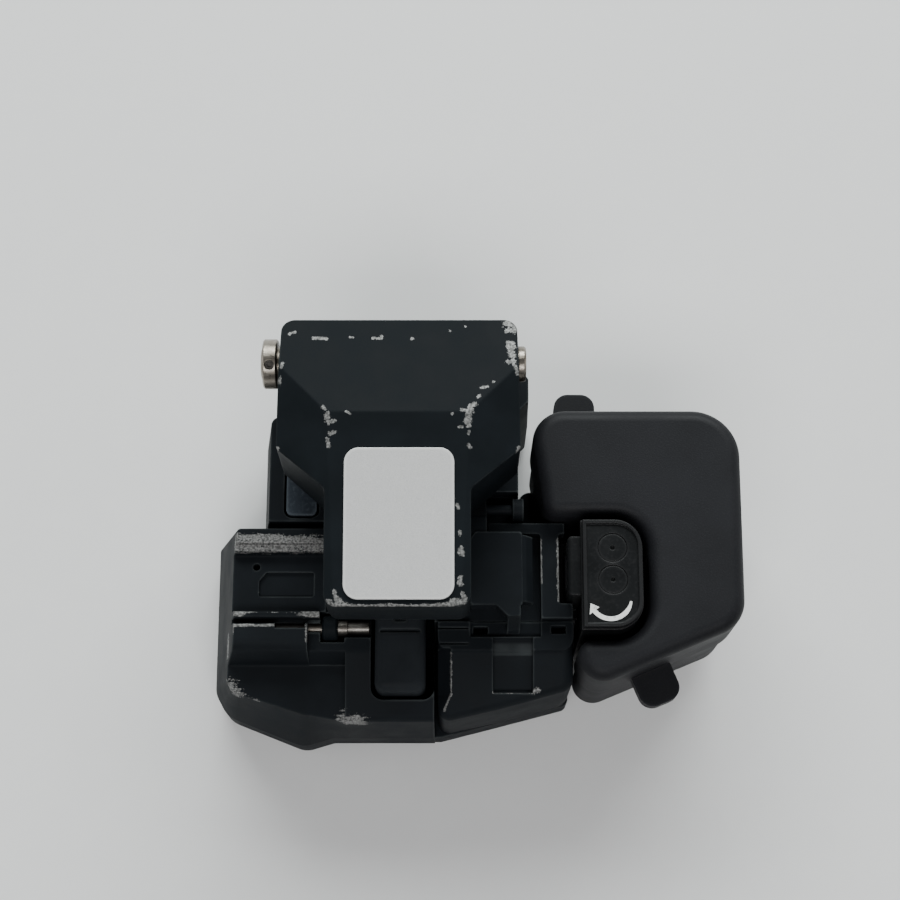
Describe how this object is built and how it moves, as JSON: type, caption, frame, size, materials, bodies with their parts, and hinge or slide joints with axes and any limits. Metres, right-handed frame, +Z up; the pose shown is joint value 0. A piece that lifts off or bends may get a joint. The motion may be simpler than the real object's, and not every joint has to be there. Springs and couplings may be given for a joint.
{
  "type": "fibre cleaver",
  "caption": "Bench fibre cleaver: black body with holder stage, hinged pressing lever, sliding round blade, scrap rollers and side collector.",
  "frame": {"origin": "On the underside of the rubber sole, at the middle of the cleaver body.", "axes": "X to the right, towards the scrap collector; Y to the rear, towards the lever hinge; Z up."},
  "size_m": [0.0893, 0.0639, 0.053],
  "materials": {
    "black_paint": "satin black paint, worn to bright metal on edges",
    "grip_paint": "satin black paint with speckled wear",
    "roller_black": "semi-gloss black with fine scratches",
    "collector_plastic": "fine grained charcoal black",
    "steel": "turned bare steel",
    "blade_steel": "ground hard metal",
    "alloy": "milled",
    "brass": "dull turned brass",
    "rubber": "matte black rubber",
    "rest_grey": "worn blue-grey pad",
    "label_silver": "silver-grey label plate with fine speckle, blank"
  },
  "bodies": {
    "base": {"base_body": "black_paint", "bottom_plate": "steel", "bottom_plate_screws": "steel", "sole_mat": "rubber", "rest_pad": "rest_grey", "slide_rail": "steel", "rail_screws": "steel", "slider_spring": "steel", "lower_jaw_left": "steel", "lower_jaw_right": "steel", "jaw_screws": "steel", "lower_pad_left": "rubber", "lower_pad_right": "rubber", "hinge_bushes": "brass", "lever_spring": "steel", "guide_frame": "black_paint", "grip_cover": "grip_paint", "roller_housing": "roller_black", "roller_cover": "roller_black", "collector_bracket": "black_paint", "collector_tray": "collector_plastic"},
    "lever": {"lever_shell": "black_paint", "name_plate": "label_silver", "hinge_shaft": "steel", "shaft_collar": "steel", "collar_grub_screw": "steel", "clamp_pivot": "steel"},
    "clamp": {"clamp_arm": "alloy", "upper_pad_left": "rubber", "upper_pad_right": "rubber"},
    "anvil": {"anvil": "steel"},
    "slider": {"slider_carriage": "alloy", "slider_cap": "black_paint", "blade_axle": "steel"},
    "blade": {"blade_disc": "blade_steel", "blade_hub": "brass", "blade_nut": "brass"},
    "bolt": {"lock_bolt": "steel", "bolt_knob": "brass"},
    "flap": {"guide_flap": "black_paint", "flap_pin": "steel"},
    "collector_lid": {"collector_cover": "collector_plastic"},
    "drive_roller": {"drive_roller_shaft": "roller_black", "drive_roller_sleeve": "rubber"},
    "idler_roller": {"idler_roller_shaft": "roller_black", "idler_roller_sleeve": "rubber"}
  },
  "joints": [
    {"name": "lever_hinge", "type": "hinge", "parent": "base", "child": "lever", "pos_m": [0.0007, 0.0262, 0.0423], "axis": [-1, 0, 0], "range_deg": [0, 55]},
    {"name": "clamp_arm_hinge", "type": "hinge", "parent": "lever", "child": "clamp", "pos_m": [0.0007, 0.007, 0.041], "axis": [-1, 0, 0], "range_deg": [0, 2], "stiffness_Nm_per_rad": 0.4, "springref_deg": -2.86},
    {"name": "anvil_slide", "type": "slide", "parent": "clamp", "child": "anvil", "axis": [0, 0, -1], "range_m": [0, 0.0012], "stiffness_N_per_m": 60, "springref_m": -0.002},
    {"name": "slider_slide", "type": "slide", "parent": "base", "child": "slider", "axis": [0, 1, 0], "range_m": [0, 0.013], "stiffness_N_per_m": 15, "springref_m": -0.012, "deforming": ["slider_spring"]},
    {"name": "blade_spin", "type": "hinge", "parent": "slider", "child": "blade", "pos_m": [0.0007, -0.009, 0.02405], "axis": [1, 0, 0], "continuous": true},
    {"name": "bolt_slide", "type": "slide", "parent": "base", "child": "bolt", "axis": [1, 0, 0], "range_m": [0, 0.0007]},
    {"name": "flap_hinge", "type": "hinge", "parent": "base", "child": "flap", "pos_m": [0.0166, 0.0045, 0.03], "axis": [-1, 0, 0], "range_deg": [0, 44]},
    {"name": "cover_lift", "type": "slide", "parent": "base", "child": "collector_lid", "axis": [0, 0, 1], "range_m": [0, 0.025]},
    {"name": "drive_roller_spin", "type": "hinge", "parent": "base", "child": "drive_roller", "pos_m": [0.0354, -0.00885, 0.032], "axis": [0, 0, 1], "continuous": true},
    {"name": "idler_roller_spin", "type": "hinge", "parent": "base", "child": "idler_roller", "pos_m": [0.0354, -0.00355, 0.032], "axis": [0, 0, 1], "continuous": true}
  ],
  "couplings": [
    {"joint": "flap_hinge", "follows": "lever_hinge", "ratio": 0.8},
    {"joint": "idler_roller_spin", "follows": "drive_roller_spin", "ratio": -1}
  ]
}
